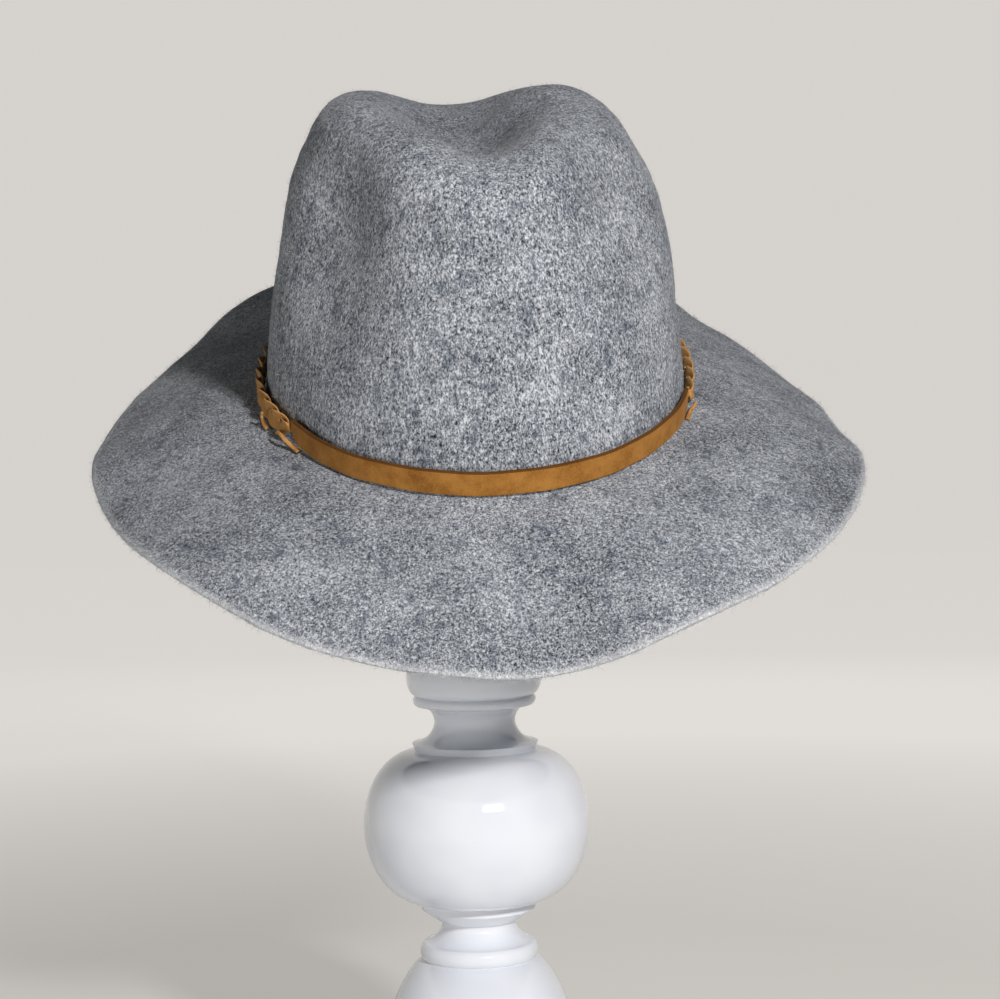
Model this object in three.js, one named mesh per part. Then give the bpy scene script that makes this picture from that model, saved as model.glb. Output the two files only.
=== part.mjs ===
import * as THREE from 'three';

// A floppy felt hat with a suede band, leaning forward on a plain turned stand.
// Millimetres, +Z up, the front of the hat towards -Y, the origin under the middle of the foot.
// The hat has a frame of its own, with its origin in the middle of the head opening.

// felt, measured outside at the break where crown meets brim
const feltWall = 2.4;
const headHalfWidth = 85;
const headHalfLength = 99.7;
const crownHeight = 122;
const crownLean = 1;
const crownSideDrop = 3.5;
const brimWidth = 76;
const creaseDepth = 24;
const pinchDepth = 10;

// how the hat sits on the stand
const hatPitch = 25;
const hatTurn = 7;
const hatAside = 3.4;
const hatBack = 15;

// suede band: a flat strap in front, a plait of three laces round the back
const strapWidth = 10;
const strapThickness = 1.6;
const strapLift = 0.7;
const strapRightAngle = -60.5;
const strapLeftAngle = 63;
const tongueLength = 9;
const tongueTipShare = 0.3;
const laceWidth = 3.6;
const laceThickness = 1.1;
const plaitWidth = 9.8;
const plaitDepth = 1.25;
const plaitPitch = 34;
const curlThickness = 1;
const curlWidth = 1.7;

// stand and hidden post
const standHeight = 184;
const ballRadius = 46;
const footRadius = 62;
const postHeight = 207;
const postRadius = 12;
const capRadius = 22;
const capHeight = 24;

// gaps
const touchGap = 0.35;

// how finely the solids are faceted
const feltSteps = 64;
const crownRings = 16;
const brimRings = 7;
const strapSteps = 44;
const plaitStepsPerPitch = 8;
const standSides = 28;
const postSides = 20;

// crown sections from brim to top: rise is a share of the crown's height, side is a share
// of the head's half width, front and back are shares of its half length
const crownSections = [
  { rise: 0, side: 1, front: 1, back: 1 },
  { rise: 0.1, side: 0.99, front: 0.985, back: 0.99 },
  { rise: 0.3, side: 0.955, front: 0.945, back: 0.955 },
  { rise: 0.5, side: 0.913, front: 0.895, back: 0.905 },
  { rise: 0.68, side: 0.87, front: 0.83, back: 0.84 },
  { rise: 0.82, side: 0.777, front: 0.796, back: 0.755 },
  { rise: 0.92, side: 0.678, front: 0.737, back: 0.655 },
  { rise: 0.98, side: 0.52, front: 0.602, back: 0.52 },
  { rise: 1, side: 0.37, front: 0.45, back: 0.37 },
  { rise: 1, side: 0.19, front: 0.23, back: 0.19 },
  { rise: 1, side: 0, front: 0, back: 0 },
];

// the head opening is an oval that is pressed in a little on the wearer's right in front and
// on the wearer's left: size is the share of the plain oval, by the angle round the head
const ovalSizes = [
  { angle: -180, size: 1 },
  { angle: -125, size: 1 },
  { angle: -92, size: 0.999 },
  { angle: -62, size: 0.98 },
  { angle: -35, size: 0.993 },
  { angle: 0, size: 1 },
  { angle: 35, size: 1 },
  { angle: 80, size: 0.982 },
  { angle: 125, size: 1 },
];

// crease along the top: along is a share of the half length, + is back, depth is a share
// of the crease's depth, and reach, its half width, and aside, + to the wearer's left, are
// shares of the head's half width
const creaseSections = [
  { along: -0.85, depth: 0, reach: 0.15, aside: 0 },
  { along: -0.72, depth: 0.16, reach: 0.165, aside: 0 },
  { along: -0.58, depth: 0.25, reach: 0.18, aside: 0 },
  { along: -0.43, depth: 0.47, reach: 0.205, aside: 0.01 },
  { along: -0.28, depth: 0.69, reach: 0.245, aside: 0 },
  { along: -0.08, depth: 0.89, reach: 0.275, aside: -0.02 },
  { along: 0.15, depth: 0.935, reach: 0.29, aside: -0.06 },
  { along: 0.38, depth: 0.875, reach: 0.35, aside: -0.01 },
  { along: 0.58, depth: 0.71, reach: 0.34, aside: -0.01 },
  { along: 0.8, depth: 0.47, reach: 0.36, aside: -0.01 },
  { along: 1, depth: 0, reach: 0.37, aside: -0.01 },
];

// two soft pinches in front, a slack side and a full one: across and wide are shares of the half width,
// along of the half length, rise and tall of the crown's height, push of the pinch's depth
const pinches = [
  { across: -0.74, along: -0.46, rise: 0.67, push: 1.3, wide: 0.38, tall: 0.32 },
  { across: 0.68, along: -0.59, rise: 0.85, push: 0.76, wide: 0.31, tall: 0.27 },
  { across: -0.95, along: 0.05, rise: 0.76, push: 0.37, wide: 0.62, tall: 0.34 },
  { across: 0.95, along: 0, rise: 0.5, push: -0.19, wide: 0.6, tall: 0.19 },
];

// floppy brim: its fall in degrees below the level of the head opening, by the angle
// round the head, where 0 is the front and + turns to the wearer's left
const brimFalls = [
  { angle: -180, fall: 5.5 },
  { angle: -157.5, fall: 7 },
  { angle: -135, fall: 19 },
  { angle: -112.5, fall: 21 },
  { angle: -90, fall: 18.5 },
  { angle: -67.5, fall: 17.5 },
  { angle: -45, fall: 14.5 },
  { angle: -22.5, fall: 23.5 },
  { angle: 0, fall: 30 },
  { angle: 22.5, fall: 17 },
  { angle: 45, fall: 16 },
  { angle: 67.5, fall: 17 },
  { angle: 90, fall: 24 },
  { angle: 112.5, fall: 25 },
  { angle: 135, fall: 20.5 },
  { angle: 157.5, fall: 6.5 },
];
const brimCurl = 9;

// stand from the foot up: rise is a share of the stand's height, radius and bulge are
// shares of the foot's radius in the foot and of the ball's radius above it
const footSections = [
  { rise: 0.054, radius: 0.97, bulge: 0.03 },
  { rise: 0.141, radius: 0.58, bulge: -0.14 },
];
const stemSections = [
  { name: 'dome', rise: 0.152, radius: 0.49, bulge: 0.09 },
  { name: 'bead', rise: 0.035, radius: 0.47, bulge: 0.035 },
  { name: 'cove', rise: 0.047, radius: 0.345, bulge: -0.06 },
  { name: 'bevel', rise: 0.027, radius: 0.5, bulge: 0.01 },
  { name: 'plate', rise: 0.016, radius: 0.505, bulge: 0 },
  { name: 'ball', rise: 0.33, radius: 0.53, bulge: 0.475 },
  { name: 'collar', rise: 0.016, radius: 0.55, bulge: 0 },
  { name: 'neck', rise: 0.081, radius: 0.5, bulge: -0.17 },
  { name: 'upper bead', rise: 0.022, radius: 0.505, bulge: 0.035 },
  { name: 'lip', rise: 0.079, radius: 0.5, bulge: 0.09 },
];

const felt = new THREE.MeshStandardMaterial({ color: 0x979ba1, roughness: 0.95, metalness: 0 });
const suede = new THREE.MeshStandardMaterial({ color: 0xa06c36, roughness: 0.9, metalness: 0 });
const glaze = new THREE.MeshStandardMaterial({ color: 0xeef1f6, roughness: 0.15, metalness: 0 });
const plain = new THREE.MeshStandardMaterial({ color: 0xd8d6d0, roughness: 0.6, metalness: 0 });

const radians = THREE.MathUtils.degToRad;
const smoothstep = THREE.MathUtils.smoothstep;

// value of one column at x, on a smooth curve through a table's rows
function columnAt(rows, along, column, x, period = 0) {
  const count = rows.length;
  const row = (i) => {
    if (!period) return rows[THREE.MathUtils.clamp(i, 0, count - 1)];
    const laps = Math.floor(i / count);
    const source = rows[i - laps * count];
    return { ...source, [along]: source[along] + laps * period };
  };
  const start = rows[0][along];
  const place = period ? start + THREE.MathUtils.euclideanModulo(x - start, period) : x;
  let i = 0;
  while (i < count - (period ? 1 : 2) && row(i + 1)[along] <= place) i += 1;
  const rate = (k) => {
    const run = row(k + 1)[along] - row(k)[along];
    return run > 0 ? (row(k + 1)[column] - row(k)[column]) / run : 0;
  };
  const slope = (k) => {
    const before = rate(k - 1);
    const after = rate(k);
    return before * after > 0 ? (2 * before * after) / (before + after) : 0;
  };
  const run = row(i + 1)[along] - row(i)[along];
  const t = THREE.MathUtils.clamp((place - row(i)[along]) / run, 0, 1);
  const a = row(i)[column];
  const b = row(i + 1)[column];
  const rise = (3 - 2 * t) * t * t;
  const lead = slope(i) * (1 - t) * (1 - t) * t;
  const trail = slope(i + 1) * (t - 1) * t * t;
  return a + (b - a) * rise + run * (lead + trail);
}

// one closed body from rings of points; a ring of one point is a pole
function solidFromRings(rings) {
  const points = rings.flat();
  const faces = [];
  let first = 0;
  for (let k = 0; k < rings.length - 1; k += 1) {
    const here = rings[k];
    const next = rings[k + 1];
    const around = Math.max(here.length, next.length);
    const second = first + here.length;
    for (let i = 0; i < around; i += 1) {
      const j = (i + 1) % around;
      const a = first + (here.length > 1 ? i : 0);
      const b = first + (here.length > 1 ? j : 0);
      const c = second + (next.length > 1 ? j : 0);
      const d = second + (next.length > 1 ? i : 0);
      if (here.length > 1) faces.push([a, b, c]);
      if (next.length > 1) faces.push([a, c, d]);
    }
    first = second;
  }
  const volume = faces.reduce((sum, [a, b, c]) => (
    sum + points[a].dot(new THREE.Vector3().crossVectors(points[b], points[c]))
  ), 0);
  const outward = volume > 0 ? faces : faces.map(([a, b, c]) => [a, c, b]);
  const geometry = new THREE.BufferGeometry().setFromPoints(points);
  geometry.setIndex(outward.flat());
  geometry.computeVertexNormals();
  return geometry;
}

// the oval of the head opening and the way out of it, at an angle round the head
function headOval(angle, side = 1, front = 1, back = 1) {
  const along = Math.cos(angle) > 0 ? front : back;
  const a = headHalfWidth * side;
  const b = headHalfLength * along;
  const size = columnAt(ovalSizes, 'angle', 'size', THREE.MathUtils.radToDeg(angle), 360);
  const r = size / Math.hypot(Math.sin(angle) / a, Math.cos(angle) / b);
  return new THREE.Vector3(r * Math.sin(angle), -r * Math.cos(angle), 0);
}

function wayOut(angle) {
  const small = radians(1);
  const across = headOval(angle + small).sub(headOval(angle - small));
  return new THREE.Vector3(across.y, -across.x, 0).normalize();
}

// crown sections get their place by the length of felt from the brim up the side
const crownRows = crownSections.map((row) => ({ ...row, run: 0 }));
for (let i = 1; i < crownRows.length; i += 1) {
  const up = (crownRows[i].rise - crownRows[i - 1].rise) * crownHeight;
  const inward = (crownRows[i].side - crownRows[i - 1].side) * headHalfWidth;
  crownRows[i].run = crownRows[i - 1].run + Math.hypot(up, inward);
}
const crownRun = crownRows[crownRows.length - 1].run;

// crease and pinches move a point of the plain crown
function dented(p) {
  const back = THREE.MathUtils.clamp(p.y / headHalfLength, -0.85, 1);
  const depth = columnAt(creaseSections, 'along', 'depth', back) * creaseDepth;
  const reach = columnAt(creaseSections, 'along', 'reach', back) * headHalfWidth;
  const aside = columnAt(creaseSections, 'along', 'aside', back) * headHalfWidth;
  const top = smoothstep(p.z / crownHeight, 0.7, 0.98);
  const moved = p.clone();
  moved.z -= depth * top * Math.exp(-(Math.abs((p.x - aside) / reach) ** 2.2));
  for (const pinch of pinches) {
    const x = pinch.across * headHalfWidth;
    const y = pinch.along * headHalfLength;
    const length = Math.hypot(x, y);
    const sideways = (-(p.x - x) * y + (p.y - y) * x) / length;
    const outward = ((p.x - x) * x + (p.y - y) * y) / length;
    const up = p.z - pinch.rise * crownHeight;
    const far = (sideways / (pinch.wide * headHalfWidth)) ** 2
      + (up / (pinch.tall * crownHeight)) ** 2 + (outward / (0.47 * headHalfWidth)) ** 2;
    const push = pinch.push * pinchDepth * Math.exp(-far);
    moved.x -= (push * x) / length;
    moved.y -= (push * y) / length;
  }
  moved.x -= (crownLean * p.z) / crownHeight;
  moved.z -= (crownSideDrop * (p.x / headHalfWidth) * p.z) / crownHeight;
  return moved;
}

function crownPoint(angle, share) {
  const run = (1 - share) * crownRun;
  const [rise, side, front, back] = ['rise', 'side', 'front', 'back'].map(
    (column) => columnAt(crownRows, 'run', column, run),
  );
  if (side < 1e-6) return dented(new THREE.Vector3(0, 0, rise * crownHeight));
  const p = headOval(angle, side, front, back);
  p.z = rise * crownHeight;
  return dented(p);
}

// a point of the brim's upper face, a length of felt out from the break
function brimPoint(angle, length) {
  const fall = columnAt(brimFalls, 'angle', 'fall', THREE.MathUtils.radToDeg(angle), 360);
  const pieces = 12;
  let out = 0;
  let down = 0;
  for (let i = 0; i < pieces; i += 1) {
    const share = (((i + 0.5) / pieces) * length) / brimWidth;
    const slope = radians(fall + brimCurl * (2 * share - 1));
    out += (length / pieces) * Math.cos(slope);
    down += (length / pieces) * Math.sin(slope);
  }
  const p = headOval(angle).addScaledVector(wayOut(angle), out);
  p.z -= down;
  return p;
}

// felt body: the outer rings from the top of the crown to the brim's edge, then back inside
function feltOuter(ring, angle) {
  if (ring <= crownRings) return crownPoint(angle, ring / crownRings);
  return brimPoint(angle, (brimWidth * (ring - crownRings)) / brimRings);
}

function feltInner(ring, angle) {
  const last = crownRings + brimRings;
  const small = radians(2);
  const here = feltOuter(ring, angle);
  const across = feltOuter(ring, angle + small).sub(feltOuter(ring, angle - small));
  const along = feltOuter(Math.min(ring + 1, last), angle)
    .sub(feltOuter(Math.max(ring - 1, 1), angle));
  const inward = new THREE.Vector3().crossVectors(across, along).normalize();
  return here.addScaledVector(inward, feltWall);
}

function angleOf(step) {
  return (2 * Math.PI * step) / feltSteps - Math.PI;
}

function feltRing(place, ring) {
  return Array.from({ length: feltSteps }, (_, i) => place(ring, angleOf(i)));
}

const feltRings = [];
const feltLining = [];
for (let ring = 1; ring <= crownRings + brimRings; ring += 1) {
  feltRings.push(feltRing(feltOuter, ring));
  feltLining.unshift(feltRing(feltInner, ring));
}
const crownTop = crownPoint(0, 0);
const crownUnder = crownTop.clone().setZ(crownTop.z - feltWall);
const feltGeometry = solidFromRings([[crownTop], ...feltRings, ...feltLining, [crownUnder]]);

// sections of the swept strips, as shares of half the width and half the thickness
const flatSection = [[-1, -1], [1, -1], [1, 1], [-1, 1]];
const laceSection = [[-1, 0], [0, -1], [1, 0], [0, 1]];

// a strip swept along stations, each with a point, a way across and a way out
function strip(stations, width, thickness, corners = flatSection) {
  const rings = stations.map(({ point, across, out, share = 1 }) => corners.map(([u, v]) => (
    point.clone()
      .addScaledVector(across, (u * width * share) / 2)
      .addScaledVector(out, (v * thickness) / 2)
  )));
  const last = stations[stations.length - 1];
  return solidFromRings([[stations[0].point.clone()], ...rings, [last.point.clone()]]);
}

// stations along a route of points, with the strip's flat side facing about the way given
function stationsAlong(points, facing) {
  return points.map((point, i) => {
    const before = points[Math.max(i - 1, 0)];
    const after = points[Math.min(i + 1, points.length - 1)];
    const along = after.clone().sub(before).normalize();
    const across = new THREE.Vector3().crossVectors(facing(i), along).normalize();
    const out = new THREE.Vector3().crossVectors(along, across);
    return { point, across, out };
  });
}

const up = new THREE.Vector3(0, 0, 1);
const strapMiddle = strapLift + strapWidth / 2;

// a point beside the crown at band height: out from the felt and above the band's middle
function besideCrown(degrees, out, above) {
  const angle = radians(degrees);
  const p = headOval(angle).addScaledVector(wayOut(angle), out);
  p.z = strapMiddle + above;
  return p;
}

// strap: each end narrows to a tongue along its upper edge
const degreesPerLength = 180 / (Math.PI * Math.hypot(headHalfWidth, headHalfLength) * Math.SQRT1_2);

function strapGeometry() {
  const stations = [];
  for (let i = 0; i <= strapSteps; i += 1) {
    const along = (1 - Math.cos((Math.PI * i) / strapSteps)) / 2;
    const degrees = THREE.MathUtils.lerp(strapRightAngle, strapLeftAngle, along);
    const toEnd = Math.min(degrees - strapRightAngle, strapLeftAngle - degrees) / degreesPerLength;
    const full = Math.min(toEnd / tongueLength, 1);
    const share = THREE.MathUtils.lerp(tongueTipShare, 1, Math.sqrt(full * (2 - full)));
    stations.push({
      point: besideCrown(degrees, touchGap + strapThickness / 2, (strapWidth * (1 - share)) / 2),
      across: up,
      out: wayOut(radians(degrees)),
      share,
    });
  }
  return strip(stations, strapWidth, strapThickness);
}

// plait: three laces that swing across the plait's width and pass over and under each other
const plaitSwing = (plaitWidth - laceWidth) / 2;
const plaitLift = (strapWidth - plaitWidth) / 2;
const plaitMiddle = touchGap + plaitDepth + laceThickness / 2;
const plaitStart = strapLeftAngle + touchGap * 2 * degreesPerLength;
const plaitEnd = strapRightAngle + 360 - touchGap * 2 * degreesPerLength;

function plaitStrand(index) {
  const turns = (plaitEnd - plaitStart) / degreesPerLength / plaitPitch;
  const steps = Math.round(turns * plaitStepsPerPitch);
  const points = [];
  const ways = [];
  for (let i = 0; i <= steps; i += 1) {
    const degrees = plaitStart + ((plaitEnd - plaitStart) * i) / steps;
    const phase = 2 * Math.PI * ((turns * i) / steps + index / 3);
    const swing = plaitSwing * Math.sin(phase);
    const depth = plaitDepth * Math.sin(2 * phase);
    points.push(besideCrown(degrees, plaitMiddle + depth, plaitLift + swing));
    ways.push(wayOut(radians(degrees)));
  }
  const stations = stationsAlong(points, (i) => ways[i]);
  for (const i of [0, steps]) {
    stations[i].across = up;
    stations[i].out = ways[i];
  }
  return strip(stations, laceWidth, laceThickness, laceSection);
}

// curled lace ends lie on the brim by each end of the strap: out and rise are shares of
// the lace's width, turn is in degrees round the head from the end of the strap
const curls = [
  {
    name: 'lace_end_right_1',
    from: strapRightAngle,
    route: [
      { turn: 5, out: 0.82, rise: 0 },
      { turn: 3.2, out: 0.84, rise: 0.1 },
      { turn: 1.8, out: 0.95, rise: 0.3 },
      { turn: 0.9, out: 1.14, rise: 0.6 },
      { turn: 0.2, out: 1.32, rise: 1 },
      { turn: -1.2, out: 1.35, rise: 1.3 },
      { turn: -2.8, out: 1.36, rise: 1.25 },
      { turn: -4.4, out: 1.36, rise: 0.95 },
    ],
  },
  {
    name: 'lace_end_right_2',
    from: strapRightAngle,
    route: [
      { turn: -12, out: 1.37, rise: 0 },
      { turn: -13.4, out: 1.41, rise: 0.25 },
      { turn: -14.6, out: 1.43, rise: 0.7 },
      { turn: -15, out: 1.41, rise: 1.2 },
      { turn: -14.4, out: 1.37, rise: 1.6 },
      { turn: -13.2, out: 1.36, rise: 1.75 },
    ],
  },
  {
    name: 'lace_end_left_1',
    from: strapLeftAngle,
    route: [
      { turn: -5, out: 0.82, rise: 0 },
      { turn: -3, out: 0.82, rise: 0.1 },
      { turn: -1, out: 0.9, rise: 0.25 },
      { turn: 0.6, out: 1.2, rise: 0.6 },
      { turn: 1.6, out: 1.34, rise: 1.1 },
      { turn: 2.2, out: 1.36, rise: 1.6 },
    ],
  },
];

function curlGeometry({ from, route }) {
  const clear = touchGap + curlThickness / 2;
  const ways = [];
  const points = route.map(({ turn, out, rise }) => {
    const angle = radians(from + turn);
    const p = brimPoint(angle, out * laceWidth);
    const beyond = brimPoint(angle, out * laceWidth + 1);
    const way = new THREE.Vector3().crossVectors(
      new THREE.Vector3().crossVectors(up, wayOut(angle)),
      beyond.sub(p),
    ).normalize();
    if (way.z < 0) way.negate();
    ways.push(way.clone().addScaledVector(wayOut(angle), rise).normalize());
    return p.addScaledVector(way, clear + rise * laceWidth);
  });
  return strip(stationsAlong(points, (i) => ways[i]), curlWidth, curlThickness);
}

// turned profile: each section is a straight taper with half an ellipse laid on it
function addSections(profile, sections, unit, startRadius) {
  let from = startRadius;
  let height = profile[profile.length - 1].y;
  for (const { rise, radius, bulge } of sections) {
    const to = radius * unit;
    const steps = bulge === 0 ? 1 : Math.max(3, Math.round(Math.abs(bulge) * 22));
    for (let i = 1; i <= steps; i += 1) {
      const share = (1 - Math.cos((Math.PI * i) / steps)) / 2;
      const round = bulge * unit * Math.sin((Math.PI * i) / steps);
      const r = THREE.MathUtils.lerp(from, to, share) + round;
      profile.push(new THREE.Vector2(r, height + share * rise * standHeight));
    }
    height += rise * standHeight;
    from = to;
  }
}

function standGeometry() {
  const profile = [new THREE.Vector2(0, 0), new THREE.Vector2(footRadius, 0)];
  addSections(profile, footSections, footRadius, footRadius);
  const waist = profile[profile.length - 1].x;
  addSections(profile, stemSections, ballRadius, waist);
  const top = profile[profile.length - 1].y;
  profile.push(new THREE.Vector2(0, top));
  const geometry = new THREE.LatheGeometry(profile, standSides);
  return { geometry: geometry.rotateX(Math.PI / 2), top };
}

function postGeometry(bottom) {
  const capFoot = bottom + postHeight - capHeight;
  const profile = [
    new THREE.Vector2(0, bottom),
    new THREE.Vector2(postRadius, bottom),
    new THREE.Vector2(postRadius, capFoot - capRadius + postRadius),
    new THREE.Vector2(capRadius, capFoot),
  ];
  const arcSteps = 5;
  for (let i = 1; i < arcSteps; i += 1) {
    const turn = ((Math.PI / 2) * i) / arcSteps;
    const round = new THREE.Vector2(capRadius * Math.cos(turn), capFoot + capHeight * Math.sin(turn));
    profile.push(round);
  }
  profile.push(new THREE.Vector2(0, capFoot + capHeight));
  const geometry = new THREE.LatheGeometry(profile, postSides).rotateX(Math.PI / 2);
  return { geometry, profile };
}

// the hat comes down until its felt is a touching gap above the post's cap
function seatHeight(turned, profile) {
  const position = feltGeometry.getAttribute('position');
  const index = feltGeometry.getIndex();
  const corner = (k) => new THREE.Vector3().fromBufferAttribute(position, index.getX(k));
  const grain = 4;
  let lowest = -Infinity;
  for (let k = 0; k < index.count; k += 3) {
    const [a, b, c] = [corner(k), corner(k + 1), corner(k + 2)].map((p) => turned.localToWorld(p));
    const near = Math.min(Math.hypot(a.x, a.y), Math.hypot(b.x, b.y), Math.hypot(c.x, c.y));
    if (near > capRadius * 1.5) continue;
    for (let i = 0; i <= grain; i += 1) {
      for (let j = 0; j <= grain - i; j += 1) {
        const p = a.clone().multiplyScalar(i / grain)
          .addScaledVector(b, j / grain)
          .addScaledVector(c, (grain - i - j) / grain);
        const reach = Math.hypot(p.x, p.y);
        const cap = heightOfCap(profile, reach);
        if (cap !== null) lowest = Math.max(lowest, cap - p.z);
      }
    }
  }
  return lowest + touchGap * 2;
}

function heightOfCap(profile, reach) {
  const rim = profile.filter((p, i) => i >= 3);
  for (let i = 0; i < rim.length - 1; i += 1) {
    const [outer, inner] = [rim[i], rim[i + 1]];
    if (reach <= outer.x && reach >= inner.x) {
      const share = (outer.x - reach) / (outer.x - inner.x);
      return THREE.MathUtils.lerp(outer.y, inner.y, share);
    }
  }
  return null;
}

function named(name, geometry, material) {
  const mesh = new THREE.Mesh(geometry, material);
  mesh.name = name;
  return mesh;
}

const part = new THREE.Group();
const stand = standGeometry();
part.add(named('display_stand', stand.geometry, glaze));
const post = postGeometry(stand.top + touchGap);
part.add(named('hat_post', post.geometry, plain));

const seat = new THREE.Group();
seat.position.set(hatAside, hatBack, 0);
seat.rotation.x = radians(hatPitch);
const hat = new THREE.Group();
hat.rotation.z = radians(hatTurn);
seat.add(hat);
part.add(seat);
part.updateMatrixWorld(true);
seat.position.z = seatHeight(hat, post.profile);

hat.add(named('felt_body', feltGeometry, felt));
hat.add(named('band_strap', strapGeometry(), suede));
for (let index = 0; index < 3; index += 1) {
  hat.add(named(`plait_strand_${index + 1}`, plaitStrand(index), suede));
}
for (const curl of curls) {
  hat.add(named(curl.name, curlGeometry(curl), suede));
}

export default part;
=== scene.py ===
# Floppy wool felt hat with a suede band, leaning forward on a glazed stand
import math

import bpy
import numpy as np
from mathutils import Matrix, Vector


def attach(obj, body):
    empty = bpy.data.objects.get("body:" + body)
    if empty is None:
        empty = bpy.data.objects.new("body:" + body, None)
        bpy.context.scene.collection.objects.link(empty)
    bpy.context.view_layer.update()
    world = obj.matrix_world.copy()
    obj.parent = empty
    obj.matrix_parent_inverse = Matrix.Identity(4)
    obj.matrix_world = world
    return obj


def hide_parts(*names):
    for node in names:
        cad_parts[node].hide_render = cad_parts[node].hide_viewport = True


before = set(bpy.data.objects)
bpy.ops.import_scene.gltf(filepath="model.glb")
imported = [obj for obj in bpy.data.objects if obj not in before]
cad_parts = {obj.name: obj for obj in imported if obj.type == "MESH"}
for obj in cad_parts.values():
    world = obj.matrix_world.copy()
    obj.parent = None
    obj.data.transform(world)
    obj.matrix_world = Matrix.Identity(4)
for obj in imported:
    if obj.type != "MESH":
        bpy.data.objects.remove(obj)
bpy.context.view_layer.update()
random = np.random.default_rng(7)
print("frame loaded")


# small helpers
def toLinear(hexColour):
    parts = [int(hexColour[i:i + 2], 16) / 255 for i in (0, 2, 4)]
    return (*[c / 12.92 if c <= 0.04045 else ((c + 0.055) / 1.055) ** 2.4 for c in parts], 1.0)


def perMetre(mm):
    # the scale of a pattern whose repeat is this many mm
    return 1000 / mm


def addNode(material, kind, settings=None, links=None):
    node = material.node_tree.nodes.new(kind)
    for name, value in (settings or {}).items():
        if name == "stops":  # colour ramp: (place, hex colour) pairs
            ramp = node.color_ramp
            while len(ramp.elements) < len(value):
                ramp.elements.new(0.5)
            for element, (place, colour) in zip(ramp.elements, value):
                element.position = place
                element.color = toLinear(colour)
        elif isinstance(name, int) or name in node.inputs:
            node.inputs[name].default_value = value
        else:
            setattr(node, name, value)
    for name, source in (links or {}).items():
        material.node_tree.links.new(source, node.inputs[name])
    return node


def newMaterial(name):
    material = bpy.data.materials.new(name)
    material.use_nodes = True
    material.node_tree.nodes.clear()
    return material


def finishMaterial(material, shader):
    out = addNode(material, "ShaderNodeOutputMaterial")
    material.node_tree.links.new(shader.outputs[0], out.inputs["Surface"])
    return material


def columnAt(rows, along, column, x, period=0):
    # a smooth curve through one column of a table, which never overshoots its rows
    at = np.array([row[along] for row in rows], float)
    value = np.array([row[column] for row in rows], float)
    if period:
        x = at[0] + np.mod(x - at[0], period)
        at = np.concatenate([at - period, at, at + period])
        value = np.tile(value, 3)
    run = np.diff(at)
    rate = np.divide(np.diff(value), run, out=np.zeros(len(run)), where=run > 0)
    before, after = np.concatenate([[0], rate]), np.concatenate([rate, [0]])
    both = before * after > 0
    slope = np.where(both, 2 * before * after / np.where(both, before + after, 1), 0)
    i = np.clip(np.searchsorted(at, x, side="right") - 1, 0, len(at) - 2)
    t = np.clip((x - at[i]) / run[i], 0, 1)
    mix = value[i] + (value[i + 1] - value[i]) * (3 - 2 * t) * t * t
    return mix + run[i] * (slope[i] * (1 - t) ** 2 * t + slope[i + 1] * (t - 1) * t * t)


def smoothstep(x, low, high):
    t = np.clip((x - low) / (high - low), 0, 1)
    return t * t * (3 - 2 * t)


def unit(v):
    return v / np.maximum(np.linalg.norm(v, axis=-1, keepdims=True), 1e-12)


def meshFromGrid(name, grid, caps=(), uvs=None):
    # grid is rings by points by xyz in mm; caps are the rings that get one closing face
    rings, around = grid.shape[:2]
    i, j = np.meshgrid(np.arange(rings - 1), np.arange(around), indexing="ij")
    k = (j + 1) % around
    faces = np.stack([i * around + j, i * around + k, (i + 1) * around + k, (i + 1) * around + j], -1)
    faces = [tuple(f) for f in faces.reshape(-1, 4).tolist()]
    for ring in caps:
        first = (ring % rings) * around
        loop = list(range(first, first + around))
        faces.append(tuple(loop if ring < 0 else loop[::-1]))
    mesh = bpy.data.meshes.new(name)
    mesh.from_pydata((grid.reshape(-1, 3) / 1000).tolist(), [], faces)
    mesh.polygons.foreach_set("use_smooth", [True] * len(mesh.polygons))
    if uvs is not None:
        layer = mesh.uv_layers.new(name="run")
        corner = np.zeros(len(mesh.loops), int)
        mesh.loops.foreach_get("vertex_index", corner)
        layer.data.foreach_set("uv", uvs.reshape(-1, 2)[corner].ravel().astype(np.float32))
    mesh.validate()
    mesh.update()
    return mesh


def addPiece(name, mesh, material, replaces=()):
    piece = bpy.data.objects.new(name, mesh)
    bpy.context.scene.collection.objects.link(piece)
    mesh.materials.append(material)
    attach(piece, "root")
    if replaces:
        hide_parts(*replaces)


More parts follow.
